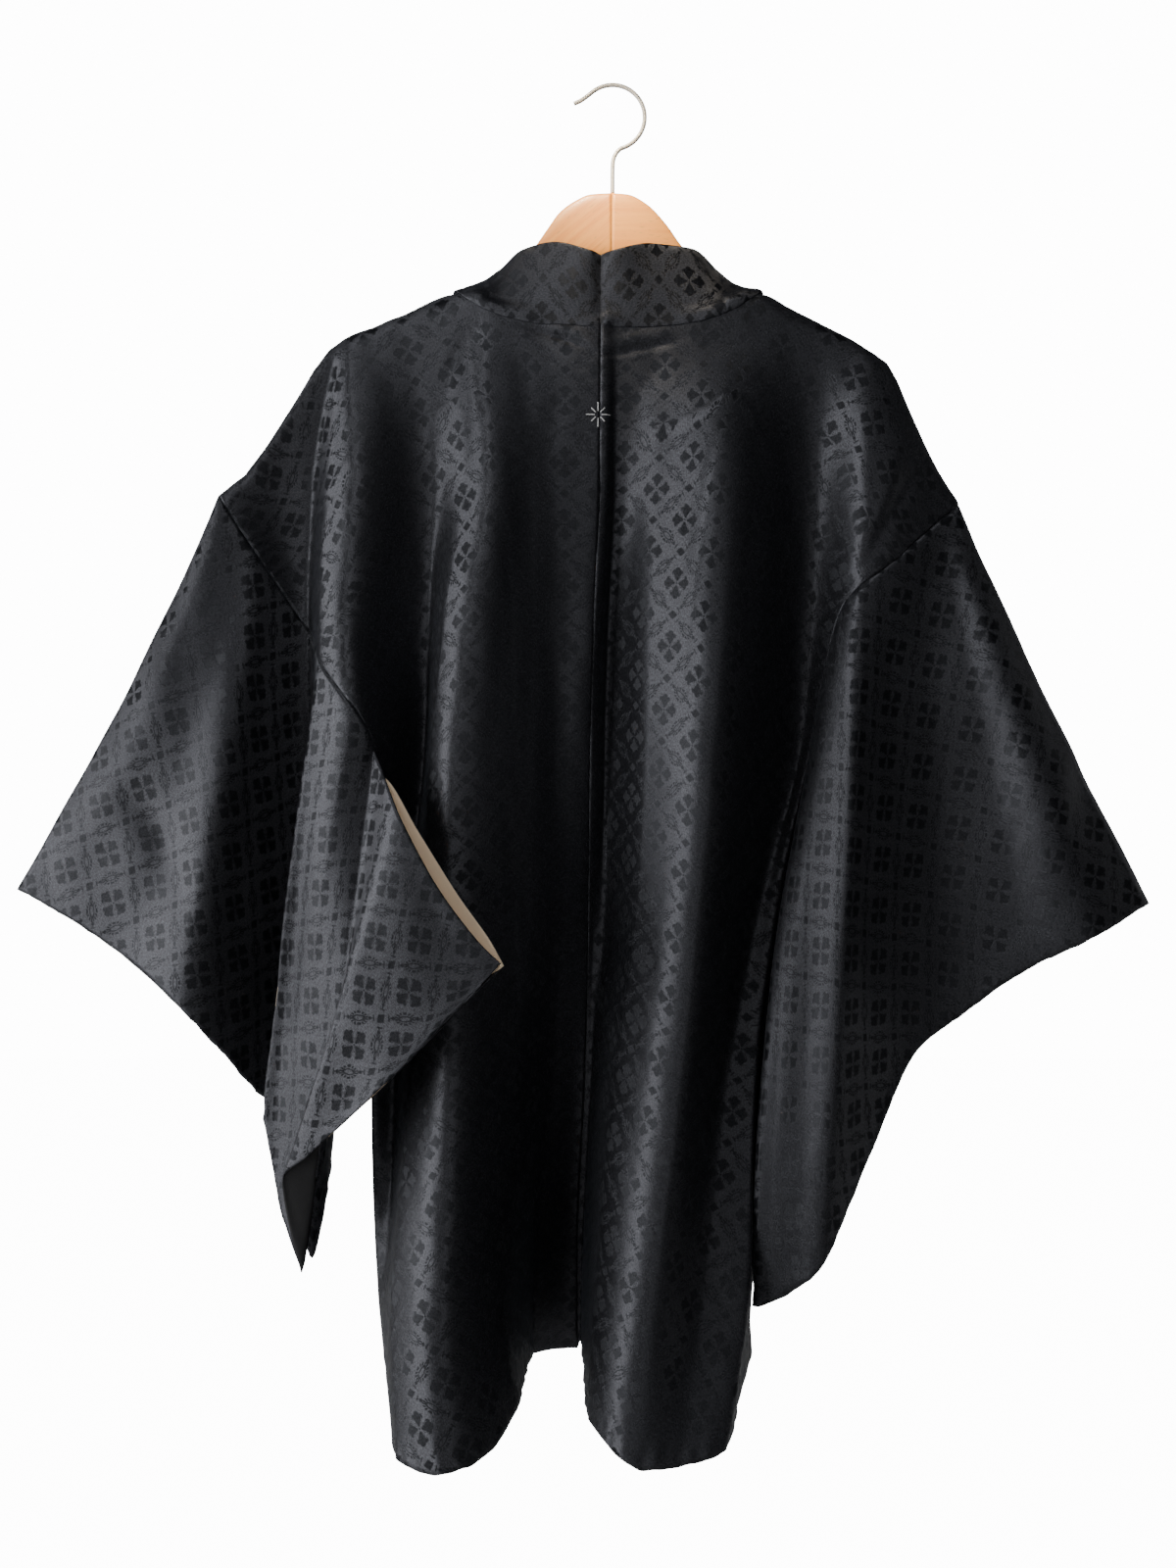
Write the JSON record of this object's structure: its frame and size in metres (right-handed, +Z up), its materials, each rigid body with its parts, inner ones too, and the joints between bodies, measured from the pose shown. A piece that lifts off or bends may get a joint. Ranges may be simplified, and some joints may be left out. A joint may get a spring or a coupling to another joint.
{
  "type": "haori jacket on a wooden hanger",
  "caption": "Hip-length black figured silk haori, a kimono jacket with deep open sleeves and a folded collar band, hanging open on a wooden hanger with a wire hook.",
  "frame": {"origin": "inside of the hook's top, where a rail or peg bears", "axes": "+Z up; the garment's back faces -Y and its open front +Y; +X is to the right seen from behind"},
  "size_m": [0.8517, 0.2352, 1.0061],
  "materials": {
    "silk": "soft satin figured weave",
    "beech": "clear lacquer",
    "steel": "satin"
  },
  "bodies": {
    "root": {"back_left": "silk", "back_right": "silk", "front_left": "silk", "front_right": "silk", "gusset_left": "silk", "gusset_right": "silk", "sleeve_left_back": "silk", "sleeve_left_front": "silk", "sleeve_right_back": "silk", "sleeve_right_front": "silk", "collar_left": "silk", "collar_right": "silk", "hanger_arm_left": "beech", "hanger_arm_right": "beech", "hanger_hook": "steel"}
  },
  "joints": []
}
